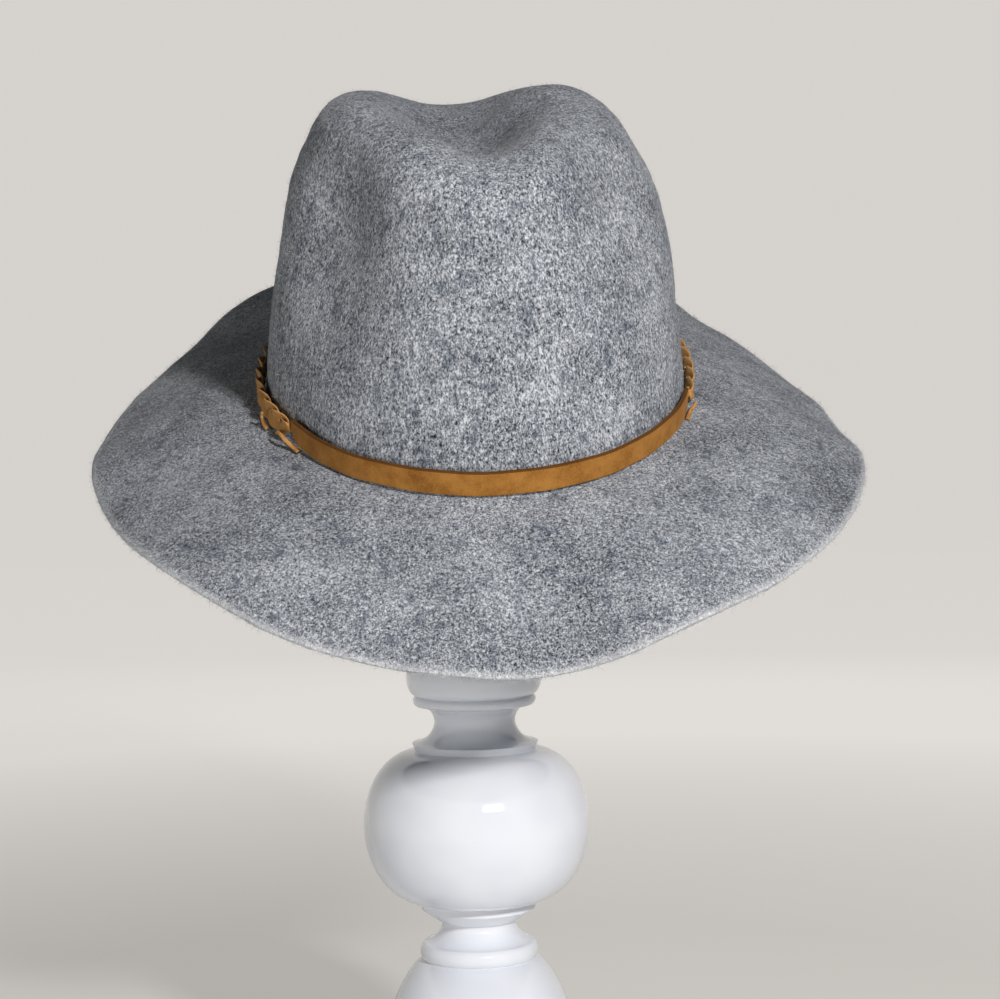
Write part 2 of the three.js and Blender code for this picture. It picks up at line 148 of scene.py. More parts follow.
# the hat's shape, as in the part, with finer steps and rings: lengths in mm, turns in degrees, and
# shares of the crown's sizes
hat = {
    "halfWidth": 85, "halfLength": 99.7, "crownHeight": 122, "crownLean": 1, "crownSideDrop": 3.5,
    "brimWidth": 76, "brimCurl": 9, "brimParts": 12, "feltWall": 2.4,
    "creaseDepth": 24, "creaseFrom": 0.7, "creaseFull": 0.98, "creaseEdge": 2.2,
    "pinchDepth": 10, "pinchReach": 0.47,
    "pitch": 25, "turn": 7, "aside": 3.4, "back": 15, "height": 293.1,
    "steps": 336, "crownRings": 84, "brimRings": 46, "edgeRings": 4,
}
crownSections = [
    {"rise": 0, "side": 1, "front": 1, "back": 1},
    {"rise": 0.1, "side": 0.99, "front": 0.985, "back": 0.99},
    {"rise": 0.3, "side": 0.955, "front": 0.945, "back": 0.955},
    {"rise": 0.5, "side": 0.913, "front": 0.895, "back": 0.905},
    {"rise": 0.68, "side": 0.87, "front": 0.83, "back": 0.84},
    {"rise": 0.82, "side": 0.777, "front": 0.796, "back": 0.755},
    {"rise": 0.92, "side": 0.678, "front": 0.737, "back": 0.655},
    {"rise": 0.98, "side": 0.52, "front": 0.602, "back": 0.52},
    {"rise": 1, "side": 0.37, "front": 0.45, "back": 0.37},
    {"rise": 1, "side": 0.19, "front": 0.23, "back": 0.19},
    {"rise": 1, "side": 0, "front": 0, "back": 0},
]
ovalSizes = [
    {"angle": -180, "size": 1}, {"angle": -125, "size": 1}, {"angle": -92, "size": 0.999},
    {"angle": -62, "size": 0.98}, {"angle": -35, "size": 0.993}, {"angle": 0, "size": 1},
    {"angle": 35, "size": 1}, {"angle": 80, "size": 0.982}, {"angle": 125, "size": 1},
]
creaseSections = [
    {"along": -0.85, "depth": 0, "reach": 0.15, "aside": 0},
    {"along": -0.72, "depth": 0.16, "reach": 0.165, "aside": 0},
    {"along": -0.58, "depth": 0.25, "reach": 0.18, "aside": 0},
    {"along": -0.43, "depth": 0.47, "reach": 0.205, "aside": 0.01},
    {"along": -0.28, "depth": 0.69, "reach": 0.245, "aside": 0},
    {"along": -0.08, "depth": 0.89, "reach": 0.275, "aside": -0.02},
    {"along": 0.15, "depth": 0.935, "reach": 0.29, "aside": -0.06},
    {"along": 0.38, "depth": 0.875, "reach": 0.35, "aside": -0.01},
    {"along": 0.58, "depth": 0.71, "reach": 0.34, "aside": -0.01},
    {"along": 0.8, "depth": 0.47, "reach": 0.36, "aside": -0.01},
    {"along": 1, "depth": 0, "reach": 0.37, "aside": -0.01},
]
pinches = [
    {"across": -0.74, "along": -0.46, "rise": 0.67, "push": 1.3, "wide": 0.38, "tall": 0.32},
    {"across": 0.68, "along": -0.59, "rise": 0.85, "push": 0.76, "wide": 0.31, "tall": 0.27},
    {"across": -0.95, "along": 0.05, "rise": 0.76, "push": 0.37, "wide": 0.62, "tall": 0.34},
    {"across": 0.95, "along": 0, "rise": 0.5, "push": -0.19, "wide": 0.6, "tall": 0.19},
]
brimFalls = [
    {"angle": -180 + 22.5 * i, "fall": fall}
    for i, fall in enumerate([5.5, 7, 19, 21, 18.5, 17.5, 14.5, 23.5, 30, 17, 16, 17, 24, 25, 20.5, 6.5])
]


def headOval(angle, side=1.0, front=1.0, back=1.0):
    along = np.where(np.cos(angle) > 0, front, back)
    size = columnAt(ovalSizes, "angle", "size", np.degrees(angle), 360)
    r = size / np.hypot(np.sin(angle) / (hat["halfWidth"] * np.maximum(side, 1e-6)),
                        np.cos(angle) / (hat["halfLength"] * np.maximum(along, 1e-6)))
    return np.stack([r * np.sin(angle), -r * np.cos(angle), np.zeros_like(r)], -1)


def wayOut(angle):
    nudge = 0.0175  # about a degree
    across = headOval(angle + nudge) - headOval(angle - nudge)
    return unit(np.stack([across[..., 1], -across[..., 0], np.zeros_like(angle)], -1))


def dented(p):
    # the crease along the top first, then the pinches, then the crown's lean and the drop of one side
    along, rise = p[..., 1] / hat["halfLength"], p[..., 2] / hat["crownHeight"]
    depth = columnAt(creaseSections, "along", "depth", along) * hat["creaseDepth"]
    reach = columnAt(creaseSections, "along", "reach", along) * hat["halfWidth"]
    aside = columnAt(creaseSections, "along", "aside", along) * hat["halfWidth"]
    top = smoothstep(rise, hat["creaseFrom"], hat["creaseFull"])
    moved = p.copy()
    moved[..., 2] -= depth * top * np.exp(-(np.abs((p[..., 0] - aside) / reach) ** hat["creaseEdge"]))
    for pinch in pinches:
        x, y = pinch["across"] * hat["halfWidth"], pinch["along"] * hat["halfLength"]
        length = math.hypot(x, y)
        sideways = (-(p[..., 0] - x) * y + (p[..., 1] - y) * x) / length
        outward = ((p[..., 0] - x) * x + (p[..., 1] - y) * y) / length
        up = p[..., 2] - pinch["rise"] * hat["crownHeight"]
        far = ((sideways / (pinch["wide"] * hat["halfWidth"])) ** 2
               + (up / (pinch["tall"] * hat["crownHeight"])) ** 2
               + (outward / (hat["pinchReach"] * hat["halfWidth"])) ** 2)
        push = pinch["push"] * hat["pinchDepth"] * np.exp(-far)
        moved[..., 0] -= push * x / length
        moved[..., 1] -= push * y / length
    moved[..., 0] -= hat["crownLean"] * rise
    moved[..., 2] -= hat["crownSideDrop"] * p[..., 0] / hat["halfWidth"] * rise
    return moved


crownRows = [dict(row, run=0.0) for row in crownSections]
for low, high in zip(crownRows, crownRows[1:]):
    high["run"] = low["run"] + math.hypot((high["rise"] - low["rise"]) * hat["crownHeight"],
                                          (high["side"] - low["side"]) * hat["halfWidth"])


def crownPoint(angle, share):
    # share is 0 at the middle of the top and 1 at the crown's foot
    run = (1 - share) * crownRows[-1]["run"]
    rise, side, front, back = [columnAt(crownRows, "run", c, run) for c in ("rise", "side", "front", "back")]
    p = headOval(angle, side, front, back)
    p[..., 2] = rise * hat["crownHeight"]
    return dented(p)


def brimPoint(angle, length):
    # length is the way out along the brim, whose slope changes by brimCurl on that way
    fall = columnAt(brimFalls, "angle", "fall", np.degrees(angle), 360)
    out, down, parts = 0, 0, hat["brimParts"]
    for i in range(parts):
        share = (i + 0.5) / parts * length / hat["brimWidth"]
        slope = np.radians(fall + hat["brimCurl"] * (2 * share - 1))
        out = out + length / parts * np.cos(slope)
        down = down + length / parts * np.sin(slope)
    p = headOval(angle) + wayOut(angle) * np.asarray(out)[..., None]
    p[..., 2] -= down
    return p


def toWorld(p):
    pitch = Matrix.Rotation(math.radians(hat["pitch"]), 3, "X")
    turn = Matrix.Rotation(math.radians(hat["turn"]), 3, "Z")
    return p @ np.array(pitch @ turn).T + np.array([hat["aside"], hat["back"], hat["height"]])


def waves(p, size, seed, count=18):
    # a soft uneven swell from a few sine waves, about size mm from crest to crest
    rng = np.random.default_rng(seed)
    ways = unit(rng.normal(size=(count, 3)))
    phases = rng.uniform(0, 2 * math.pi, count)
    lengths = size * rng.uniform(0.7, 1.6, count)
    each = zip(ways, lengths, phases)
    total = sum(np.sin(2 * math.pi * (p @ way) / length + phase) for way, length, phase in each)
    return total / math.sqrt(count)


# wool felt: light and dark fibres laid into each other, matt, with a soft bloom of loose fibre and a painted
# highlight on the cut edge; sizes in mm
feltLook = {
    "lightFibre": "d0d5dd", "midFibre": "888e97", "darkFibre": "22262d", "fleck": "3b4455",
    # the cut edge's colour is a painted highlight: the edge painted paler than the felt, as if lit
    "paintedEdgeHighlight": "e4e7ec", "bloom": "dfe2e8",
    "fibreWide": 0.53, "fibreLong": 0.95, "strandTimes": 2.1, "swaySize": 2.6, "sway": (1.1, 1.1, 0.6),
    "fleckSize": 5.0, "cloudSize": 26, "cloudShare": 0.14, "pileDepth": 0.4,
}


def woolFelt():
    material = newMaterial("heatheredWoolFelt")
    place = addNode(material, "ShaderNodeTexCoord")
    # the fibres of the crown were combed upright, so the pattern is drawn out along the hat's own up
    upright = addNode(material, "ShaderNodeMapping",
                      {"vector_type": "TEXTURE", "Rotation": (math.radians(hat["pitch"]), 0, 0)},
                      {"Vector": place.outputs["Object"]})
    squash = feltLook["fibreWide"] / feltLook["fibreLong"]
    drawn = addNode(material, "ShaderNodeMapping", {"Scale": (1, 1, squash)}, {"Vector": upright.outputs[0]})
    bent = addNode(material, "ShaderNodeTexNoise", {"Scale": perMetre(feltLook["swaySize"]), "Detail": 1.0},
                   {"Vector": upright.outputs[0]})
    swayed = addNode(material, "ShaderNodeVectorMath",
                     {"operation": "MULTIPLY_ADD", 1: [mm / 1000 for mm in feltLook["sway"]]},
                     {0: bent.outputs["Color"], 2: drawn.outputs[0]})
    fibres = addNode(material, "ShaderNodeTexNoise",
                     {"Scale": perMetre(feltLook["fibreWide"]), "Detail": 2.0, "Roughness": 0.62},
                     {"Vector": swayed.outputs[0]})
    strandWide = feltLook["fibreWide"] * feltLook["strandTimes"]
    strands = addNode(material, "ShaderNodeTexNoise",
                      {"Scale": perMetre(strandWide), "Detail": 2.0, "Roughness": 0.55},
                      {"Vector": swayed.outputs[0]})
    flecks = addNode(material, "ShaderNodeTexNoise",
                     {"Scale": perMetre(feltLook["fleckSize"]), "Detail": 3.0, "Roughness": 0.6},
                     {"Vector": drawn.outputs[0]})
    clouds = addNode(material, "ShaderNodeTexNoise",
                     {"Scale": perMetre(feltLook["cloudSize"]), "Detail": 2.0},
                     {"Vector": upright.outputs[0]})
    both = addNode(material, "ShaderNodeMix", {"data_type": "FLOAT", "Factor": 0.4},
                   {2: fibres.outputs["Fac"], 3: strands.outputs["Fac"]})
    clouded = addNode(material, "ShaderNodeMath", {"operation": "MULTIPLY_ADD", 1: feltLook["cloudShare"]},
                      {0: clouds.outputs["Fac"], 2: both.outputs[0]})
    even = addNode(material, "ShaderNodeMath", {"operation": "SUBTRACT", 1: feltLook["cloudShare"] / 2},
                   {0: clouded.outputs[0]})
    heather = addNode(material, "ShaderNodeValToRGB", {"stops": [
        (0.37, feltLook["darkFibre"]), (0.51, feltLook["midFibre"]), (0.64, feltLook["lightFibre"])]},
        {"Fac": even.outputs[0]})
    fleckMask = addNode(material, "ShaderNodeValToRGB", {"stops": [(0.54, "000000"), (0.68, "c6c6c6")]},
                        {"Fac": flecks.outputs["Fac"]})
    flecked = addNode(material, "ShaderNodeMix", {"data_type": "RGBA", 7: toLinear(feltLook["fleck"])},
                      {0: fleckMask.outputs[0], 6: heather.outputs[0]})
    # the run map's second value is 1 on the cut edge, which is painted paler there, a painted highlight
    # broken up by the fine fibres
    run = addNode(material, "ShaderNodeUVMap", {"uv_map": "run"})
    split = addNode(material, "ShaderNodeSeparateXYZ", {}, {"Vector": run.outputs[0]})
    paintedHighlightMask = addNode(material, "ShaderNodeMath", {"operation": "MULTIPLY"},
                   {0: split.outputs["Y"], 1: fibres.outputs["Fac"]})
    colour = addNode(material, "ShaderNodeMix", {"data_type": "RGBA", 7: toLinear(feltLook["paintedEdgeHighlight"])},
                     {0: paintedHighlightMask.outputs[0], 6: flecked.outputs[2]})
    pile = addNode(material, "ShaderNodeBump", {"Strength": 0.25, "Distance": feltLook["pileDepth"] / 1000},
                   {"Height": both.outputs[0]})
    shader = addNode(material, "ShaderNodeBsdfPrincipled", {
        "Roughness": 0.95, "Specular IOR Level": 0.15, "Sheen Weight": 0.12, "Sheen Roughness": 0.5,
        "Sheen Tint": toLinear(feltLook["bloom"])},
        {"Base Color": colour.outputs[2], "Normal": pile.outputs[0]})
    return finishMaterial(material, shader)


# loose wool fibres: pale single hairs that stand off the felt
hairLook = {"dull": "979ca5", "pale": "dfe2e7", "patchSize": 3}


def woolHair():
    material = newMaterial("looseWoolFibre")
    place = addNode(material, "ShaderNodeTexCoord")
    shade = addNode(material, "ShaderNodeTexNoise", {"Scale": perMetre(hairLook["patchSize"]), "Detail": 1.0},
                    {"Vector": place.outputs["Object"]})
    colour = addNode(material, "ShaderNodeValToRGB",
                     {"stops": [(0.4, hairLook["dull"]), (0.62, hairLook["pale"])]},
                     {"Fac": shade.outputs["Fac"]})
    shader = addNode(material, "ShaderNodeBsdfPrincipled", {"Roughness": 0.8, "Specular IOR Level": 0.2},
                     {"Base Color": colour.outputs[0]})
    return finishMaterial(material, shader)


# suede: split cowhide with a raised nap, matt, blotched where the nap lies differently; sizes in mm
suedeLook = {
    "nap": "966830", "napLight": "ab793c", "napDark": "7b4f20", "edge": "46290f",
    "laceNap": "b98a52", "laceEdge": "c9a06c", "glow": "f0c48c",
    "napSize": 0.6, "blotchSize": 9, "napDepth": 0.25,
}


def suedeHide(name, napTone, edgeTone):
    material = newMaterial(name)
    place = addNode(material, "ShaderNodeTexCoord")
    blotches = addNode(material, "ShaderNodeTexNoise",
                       {"Scale": perMetre(suedeLook["blotchSize"]), "Detail": 3.0, "Roughness": 0.6},
                       {"Vector": place.outputs["Object"]})
    nap = addNode(material, "ShaderNodeTexNoise",
                  {"Scale": perMetre(suedeLook["napSize"]), "Detail": 2.0, "Roughness": 0.6},
                  {"Vector": place.outputs["Object"]})
    mixed = addNode(material, "ShaderNodeMix", {"data_type": "FLOAT", "Factor": 0.4},
                    {2: blotches.outputs["Fac"], 3: nap.outputs["Fac"]})
    hide = addNode(material, "ShaderNodeValToRGB", {"stops": [
        (0.34, suedeLook["napDark"]), (0.5, suedeLook[napTone]), (0.66, suedeLook["napLight"])]},
        {"Fac": mixed.outputs[0]})
    # the run map's second value is 0 on the flat of the strip and 1 on its cut edges, and on a band along the
    # top where a strip is darkened there
    run = addNode(material, "ShaderNodeUVMap", {"uv_map": "run"})
    split = addNode(material, "ShaderNodeSeparateXYZ", {}, {"Vector": run.outputs[0]})
    rim = addNode(material, "ShaderNodeMapRange", {"From Min": 0.55, "From Max": 1.0, "To Max": 0.85},
                  {"Value": split.outputs["Y"]})
    colour = addNode(material, "ShaderNodeMix", {"data_type": "RGBA", 7: toLinear(suedeLook[edgeTone])},
                     {0: rim.outputs[0], 6: hide.outputs[0]})
    grain = addNode(material, "ShaderNodeBump", {"Strength": 0.5, "Distance": suedeLook["napDepth"] / 1000},
                    {"Height": mixed.outputs[0]})
    shader = addNode(material, "ShaderNodeBsdfPrincipled", {
        "Roughness": 0.9, "Specular IOR Level": 0.2, "Sheen Weight": 0.15, "Sheen Roughness": 0.4,
        "Sheen Tint": toLinear(suedeLook["glow"])},
        {"Base Color": colour.outputs[2], "Normal": grain.outputs[0]})
    return finishMaterial(material, shader)


# white tin glaze on earthenware: clear and glossy, with a few pinholes and a faint swell; sizes in mm
glazeLook = {
    "white": "e0e5ee", "thick": "d9dfea", "pinhole": "4b4a46",
    "swellSize": 22, "swellDepth": 0.8, "pinholeSpacing": 26,
}


def whiteGlaze():
    material = newMaterial("whiteGlazedEarthenware")
    place = addNode(material, "ShaderNodeTexCoord")
    swell = addNode(material, "ShaderNodeTexNoise",
                    {"Scale": perMetre(glazeLook["swellSize"]), "Detail": 1.0},
                    {"Vector": place.outputs["Object"]})
    holes = addNode(material, "ShaderNodeTexVoronoi", {"Scale": perMetre(glazeLook["pinholeSpacing"])},
                    {"Vector": place.outputs["Object"]})
    holeMask = addNode(material, "ShaderNodeMapRange",
                       {"From Min": 0.018, "From Max": 0.03, "To Min": 1.0, "To Max": 0.0},
                       {"Value": holes.outputs["Distance"]})
    body = addNode(material, "ShaderNodeValToRGB",
                   {"stops": [(0.35, glazeLook["thick"]), (0.65, glazeLook["white"])]},
                   {"Fac": swell.outputs["Fac"]})
    colour = addNode(material, "ShaderNodeMix", {"data_type": "RGBA", 7: toLinear(glazeLook["pinhole"])},
                     {0: holeMask.outputs[0], 6: body.outputs[0]})
    wavy = addNode(material, "ShaderNodeBump", {"Strength": 0.12, "Distance": glazeLook["swellDepth"] / 1000},
                   {"Height": swell.outputs["Fac"]})
    shader = addNode(material, "ShaderNodeBsdfPrincipled", {
        "Roughness": 0.12, "IOR": 1.5, "Coat Weight": 0.6, "Coat Roughness": 0.04},
        {"Base Color": colour.outputs[2], "Normal": wavy.outputs[0]})
    return finishMaterial(material, shader)


# turned beech for the hidden post: fine straight grain along its length, barely sealed; sizes in mm
beechLook = {"dark": "a98458", "light": "cdaa7b", "grainWide": 1.6, "grainSquash": 0.06, "ridgeDepth": 0.3}


def turnedBeech():
    material = newMaterial("turnedBeech")
    place = addNode(material, "ShaderNodeTexCoord")
    drawn = addNode(material, "ShaderNodeMapping", {"Scale": (1, 1, beechLook["grainSquash"])},
                    {"Vector": place.outputs["Object"]})
    grain = addNode(material, "ShaderNodeTexNoise",
                    {"Scale": perMetre(beechLook["grainWide"]), "Detail": 4.0},
                    {"Vector": drawn.outputs[0]})
    colour = addNode(material, "ShaderNodeValToRGB",
                     {"stops": [(0.35, beechLook["dark"]), (0.65, beechLook["light"])]},
                     {"Fac": grain.outputs["Fac"]})
    ridges = addNode(material, "ShaderNodeBump",
                     {"Strength": 0.2, "Distance": beechLook["ridgeDepth"] / 1000},
                     {"Height": grain.outputs["Fac"]})
    shader = addNode(material, "ShaderNodeBsdfPrincipled", {"Roughness": 0.6, "IOR": 1.5},
                     {"Base Color": colour.outputs[0], "Normal": ridges.outputs[0]})
    return finishMaterial(material, shader)


# painted board: a plain pale floor that rises into a backdrop, lit from behind, less so under the hat;
# near and far are in m
boardLook = {
    "dull": "a3a19c", "pale": "a8a5a1", "glow": "e3dfda", "mottleScale": 3.0,
    "near": 0.35, "far": 1.1, "glowNear": 0.54, "glowFar": 0.84,
}


def paleBoard():
    material = newMaterial("palePaintedBoard")
    place = addNode(material, "ShaderNodeTexCoord")
    mottle = addNode(material, "ShaderNodeTexNoise", {"Scale": boardLook["mottleScale"], "Detail": 2.0},
                     {"Vector": place.outputs["Object"]})
    colour = addNode(material, "ShaderNodeValToRGB",
                     {"stops": [(0.3, boardLook["dull"]), (0.7, boardLook["pale"])]},
                     {"Fac": mottle.outputs["Fac"]})
    reach = addNode(material, "ShaderNodeVectorMath", {"operation": "LENGTH"}, {0: place.outputs["Object"]})
    glow = addNode(material, "ShaderNodeMapRange", {
        "From Min": boardLook["near"], "From Max": boardLook["far"],
        "To Min": boardLook["glowNear"], "To Max": boardLook["glowFar"]}, {"Value": reach.outputs["Value"]})
    shader = addNode(material, "ShaderNodeBsdfPrincipled", {
        "Roughness": 0.9, "Specular IOR Level": 0.1, "Emission Color": toLinear(boardLook["glow"])},
        {"Base Color": colour.outputs[0], "Emission Strength": glow.outputs[0]})
    return finishMaterial(material, shader)


felt, hair, glaze, beech, board = woolFelt(), woolHair(), whiteGlaze(), turnedBeech(), paleBoard()
strapSuede = suedeHide("tanSuedeStrap", "nap", "edge")
laceSuede = suedeHide("tanSuedeLace", "laceNap", "laceEdge")
print("materials made")

# the felt isn't quite even: soft and fine swells, more of them in the slack brim, and a rounded cut
# edge, in mm
swells = {
    "softSize": 42, "softDepth": 0.5, "fineSize": 9, "fineDepth": 0.1, "crownShare": 0.35,
    "edgeBulge": 0.35, "edgeSize": 3, "edgeDepth": 0.15,
}
outerRings = hat["crownRings"] + hat["brimRings"]


def feltRings():
    # the outside from the top to the brim's edge, the cut edge, and the inside a felt's thickness away
    angles = np.linspace(-math.pi, math.pi, hat["steps"], endpoint=False)
    crownShares = np.linspace(0.002, 1, hat["crownRings"])
    brimLengths = np.linspace(0, hat["brimWidth"], hat["brimRings"] + 1)[1:]
    outside = np.concatenate([
        crownPoint(*np.meshgrid(angles, crownShares)),
        brimPoint(*np.meshgrid(angles, brimLengths)),
    ])
    around = np.roll(outside, -1, 1) - np.roll(outside, 1, 1)
    inward = unit(np.cross(around, np.gradient(outside, axis=0)))
    least = swells["crownShare"]
    slack = np.concatenate([np.full(hat["crownRings"], least), np.linspace(least, 1, hat["brimRings"])])
    swell = (waves(outside, swells["softSize"], 3) * slack[:, None] * swells["softDepth"]
             + waves(outside, swells["fineSize"], 4) * swells["fineDepth"])
    outside += inward * swell[..., None]
    inside = outside + inward * hat["feltWall"]
    rim, way = outside[-1], unit(outside[-1] - outside[-2])
    edgeRings = []
    for i in range(1, hat["edgeRings"]):
        t = i / hat["edgeRings"]
        bulge = (swells["edgeBulge"] * math.sin(math.pi * t)
                 + swells["edgeDepth"] * waves(rim, swells["edgeSize"], 10 + i))
        edgeRings.append(rim + inward[-1] * hat["feltWall"] * t + way * bulge[:, None])
    return toWorld(np.concatenate([outside, np.array(edgeRings), inside[::-1]]))


def cutEdgeMap(grid):
    # where the painted highlight goes: 1 from the brim's last ring round the cut edge, and a little on the
    # ring before it
    share = np.zeros(len(grid))
    share[outerRings - 2] = 0.35
    share[outerRings - 1:outerRings + hat["edgeRings"] - 1] = 1
    return np.broadcast_to(share[:, None, None], (*grid.shape[:2], 2))


feltGrid = feltRings()
feltMesh = meshFromGrid("felt", feltGrid, caps=(0, -1), uvs=cutEdgeMap(feltGrid))
addPiece("felt_hat", feltMesh, felt, ["felt_body"])
print("felt body made:", len(feltMesh.polygons), "faces")

# loose fibres on the felt, thickest along the cut edge, in mm
fuzz = {
    "count": 15000, "rimCount": 6500, "long": (1.2, 3.4), "wide": 0.1, "rise": 1.5, "leastRise": 0.15,
    "curl": 0.5, "arch": 2.2, "sink": 0.03, "tapers": [(0, 1), (0.35, 0.9), (0.7, 0.7), (1, 0.25)],
}


def hairMesh(roots, normals):
    # each hair is a strip of three quads that rises off the felt and comes back down
    count = len(roots)
    lie = unit(random.normal(size=(count, 3)))
    lie = unit(lie - normals * (lie * normals).sum(1, keepdims=True))
    curl = np.cross(normals, lie) * random.uniform(-fuzz["curl"], fuzz["curl"], (count, 1))
    length = random.uniform(*fuzz["long"], (count, 1))
    rise = fuzz["rise"] * random.uniform(fuzz["leastRise"], 1, (count, 1)) ** 2
    side = np.cross(lie, normals) * fuzz["wide"] / 2
    points = []
    for t, taper in fuzz["tapers"]:
        up = rise * math.sin(t * fuzz["arch"]) - fuzz["sink"]
        middle = roots + (lie * t + curl * t * t) * length + normals * up
        points += [middle - side * taper, middle + side * taper]
    first = np.arange(count)[:, None] * len(points)
    quads = [first + np.array([2 * k, 2 * k + 1, 2 * k + 3, 2 * k + 2])
             for k in range(len(fuzz["tapers"]) - 1)]
    mesh = bpy.data.meshes.new("hair")
    mesh.from_pydata((np.stack(points, 1).reshape(-1, 3) / 1000).tolist(), [], np.concatenate(quads).tolist())
    mesh.update()
    return mesh


def scatterOn(grid, count):
    # even by area over the grid's quads
    a, b, c = grid[:-1], np.roll(grid, -1, 1)[:-1], grid[1:]
    cross = np.cross(b - a, c - a)
    area = np.linalg.norm(cross, axis=-1)
    pick = random.choice(area.size, count, p=(area / area.sum()).ravel())
    i, j = np.unravel_index(pick, area.shape)
    u, v = random.uniform(size=(2, count, 1))
    roots = a[i, j] + (b - a)[i, j] * u + (c - a)[i, j] * v
    return roots, -unit(cross[i, j])


roots, normals = scatterOn(feltGrid[:outerRings], fuzz["count"])
rimRoots, rimNormals = scatterOn(feltGrid[outerRings - 2:outerRings + hat["edgeRings"] + 1], fuzz["rimCount"])
fuzzMesh = hairMesh(np.concatenate([roots, rimRoots]), np.concatenate([normals, rimNormals]))
addPiece("felt_fuzz", fuzzMesh, hair)
print("loose fibres made")

# band: strap in front, plait behind, curled lace ends; lengths in mm, the strap's ends as a turn in
# degrees, and tip, lean, roll and drawnWidth as shares
band = {
    "strapWidth": 10, "strapThickness": 1.6, "lift": 0.7, "gap": 0.35, "from": -60.5, "to": 63,
    "tongue": 9, "tip": 0.3, "strapLean": 0.02, "strapSlack": 0.15, "strapSteps": 260,
    "laces": 3, "laceWidth": 4.8, "laceThickness": 1.2, "laceRoll": 0.35, "laceSteps": 420,
    "plaitWidth": 9.8, "plaitDepth": 1.1, "pitch": 34, "endGap": 0.7,
    "drawnFrom": -3, "drawnTo": 9, "drawnUp": 2.2, "drawnWidth": 0.55,
    "curlWidth": 1.8, "curlThickness": 1, "curlLift": 0.85, "curlUpright": 3.6, "curlSteps": 48,
}
strapWaver = {
    "up": [{"depth": 0.12, "every": 5.1, "start": 0}, {"depth": 0.1, "every": 2.3, "start": 1}],
    "out": [{"depth": 0.12, "every": 7.7, "start": 0}],
}
degreesPerMm = 180 / (math.pi * math.hypot(hat["halfWidth"], hat["halfLength"]) * math.sqrt(0.5))
upWay = np.array([0.0, 0.0, 1.0])


def besideCrown(degrees, out, above):
    angle = np.radians(degrees)
    p = headOval(angle) + wayOut(angle) * np.asarray(out)[..., None]
    p[..., 2] = band["lift"] + band["strapWidth"] / 2 + above
    return p


def waver(degrees, way):
    return sum(w["depth"] * np.sin(degrees / w["every"] + w["start"]) for w in strapWaver[way])


def stripMesh(name, points, acrossWay, outWay, halfWidth, halfThick, corner, across, ridge=0.0, topRim=0.0):
    # a strip with rounded cut edges; the run map holds m along it and 1 on its edges
    thinnest = 0.12
    u = np.linspace(-1, 1, across)
    edge = np.sqrt(np.clip(1 - (np.clip(np.abs(u) - (1 - corner), 0, None) / corner) ** 2, 0, 1))
    face = np.maximum(edge * (1 - ridge * np.abs(u)), thinnest)
    loopU = np.concatenate([u, u[::-1]])
    loopV = np.concatenate([face, -face[::-1]])
    count = len(points)
    halfWidth = np.broadcast_to(halfWidth, count)[:, None, None]
    grid = (points[:, None] + acrossWay[:, None] * loopU[None, :, None] * halfWidth
            + outWay[:, None] * loopV[None, :, None] * halfThick)
    travel = np.concatenate([[0], np.cumsum(np.linalg.norm(np.diff(points, axis=0), axis=1))])
    flat = np.where(loopV > 0, np.abs(loopU) ** 6, 0.5 + 0.5 * np.abs(loopU))
    # with topRim, a band of the face along the top edge is given the edge colour too, so the strap is darker
    # along its top
    flat = np.where(loopU > 1 - topRim, 1, flat)
    uvs = np.stack([np.broadcast_to(travel[:, None] / 1000, (count, len(loopU))),
                    np.broadcast_to(flat, (count, len(loopU)))], -1)
    return meshFromGrid(name, toWorld(grid), caps=(0, -1), uvs=uvs)


def strapMesh():
    t = (1 - np.cos(np.linspace(0, math.pi, band["strapSteps"]))) / 2
    degrees = band["from"] + (band["to"] - band["from"]) * t
    toEnd = np.minimum(degrees - band["from"], band["to"] - degrees) / degreesPerMm
    full = np.clip(toEnd / band["tongue"], 0, 1)
    share = band["tip"] + (1 - band["tip"]) * np.sqrt(full * (2 - full))
    above = band["strapWidth"] * (1 - share) / 2 + waver(degrees, "up")
    out = band["gap"] + band["strapThickness"] / 2 + band["strapSlack"] + waver(degrees, "out")
    points, outWay = besideCrown(degrees, out, above), wayOut(np.radians(degrees))
    # the strap leans out a little at its top, away from the tapering crown
    return stripMesh("strap", points, unit(upWay + outWay * band["strapLean"]),
                     unit(outWay - upWay * band["strapLean"]), share * band["strapWidth"] / 2,
                     band["strapThickness"] / 2, corner=0.12, across=31, topRim=0.16)


def laceMesh(name, points, normals, width, thickness, taper=0.0, ridge=0.45):
    tangent = unit(np.gradient(points, axis=0))
    acrossWay = unit(np.cross(normals, tangent))
    outWay = np.cross(tangent, acrossWay)
    t = np.linspace(0, 1, len(points))
    half = width / 2 * (1 - taper * t ** 2)
    return stripMesh(name, points, acrossWay, outWay, half, thickness / 2, corner=0.4, across=9, ridge=ridge)


